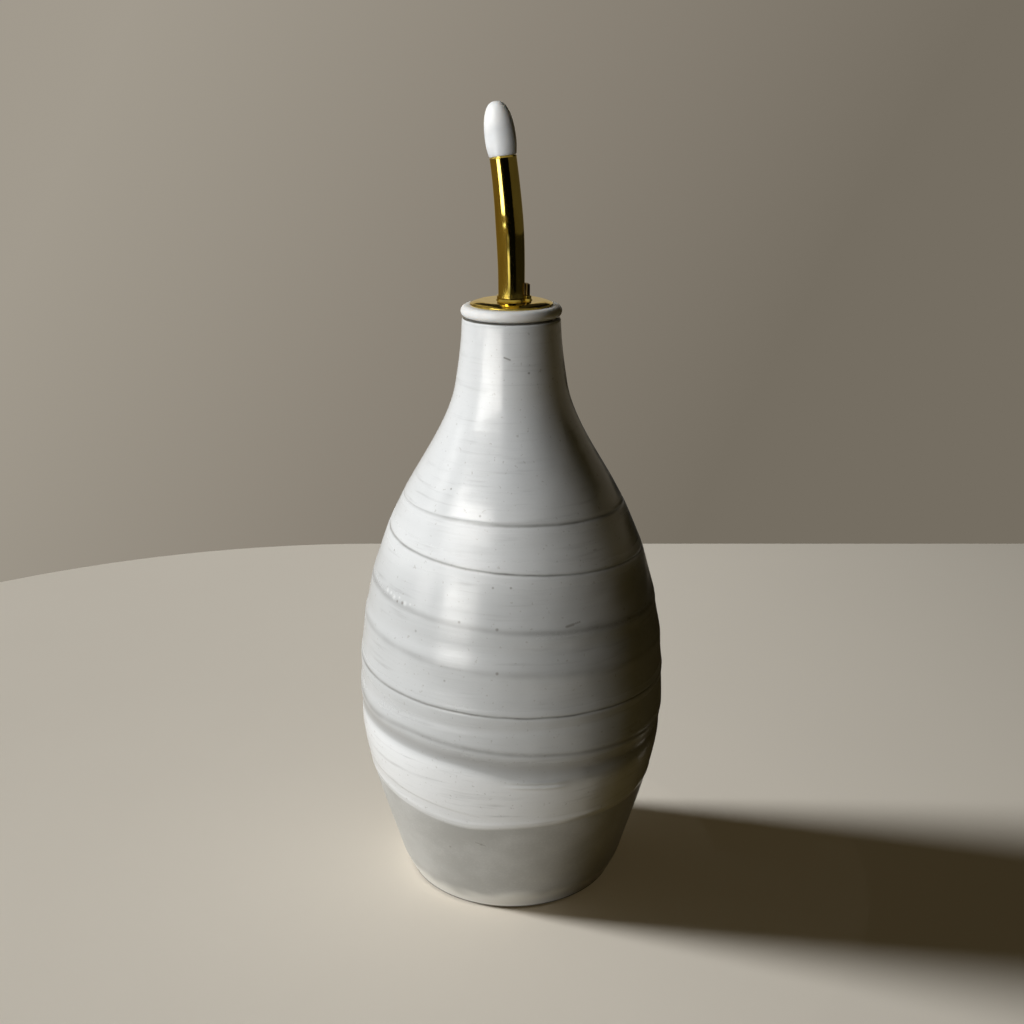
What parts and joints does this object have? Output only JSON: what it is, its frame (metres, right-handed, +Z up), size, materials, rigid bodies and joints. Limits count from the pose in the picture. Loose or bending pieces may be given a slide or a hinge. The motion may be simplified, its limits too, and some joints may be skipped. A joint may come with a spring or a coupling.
{
  "type": "oil cruet",
  "caption": "Thrown stoneware oil cruet with a swelling belly and slim neck, a ribbed stopper, a slightly bent metal pourer with an air vent, and a slip-on dust cap.",
  "frame": {"origin": "centre of the foot, on the surface that the cruet stands on", "axes": "+Z up along the bottle's axis, -X the way the spout leans, +X the side with the air vent"},
  "size_m": [0.0992, 0.0992, 0.2467],
  "materials": {
    "stoneware": "glossy off-white glaze over throwing marks, thin satin grey glaze near the foot",
    "stopper_silicone": "satin white",
    "gold_metal": "polished gold tone",
    "cap_silicone": "satin white"
  },
  "bodies": {
    "bottle": {"bottle": "stoneware"},
    "stopper": {"stopper": "stopper_silicone"},
    "pourer": {"stem_tube": "gold_metal", "collar_plate": "gold_metal", "ferrule": "gold_metal", "spout_tube": "gold_metal", "vent_tube": "gold_metal"},
    "dust_cap": {"dust_cap": "cap_silicone"}
  },
  "joints": [
    {"name": "stopper_lift", "type": "slide", "parent": "bottle", "child": "stopper", "axis": [0, 0, 1], "range_m": [0, 0.055]},
    {"name": "spout_turn", "type": "hinge", "parent": "stopper", "child": "pourer", "pos_m": [0, 0, 0.185], "axis": [0, 0, 1], "continuous": true},
    {"name": "cap_pull", "type": "slide", "parent": "pourer", "child": "dust_cap", "axis": [-0.1374, 0, 0.9905], "range_m": [0, 0.014]}
  ]
}
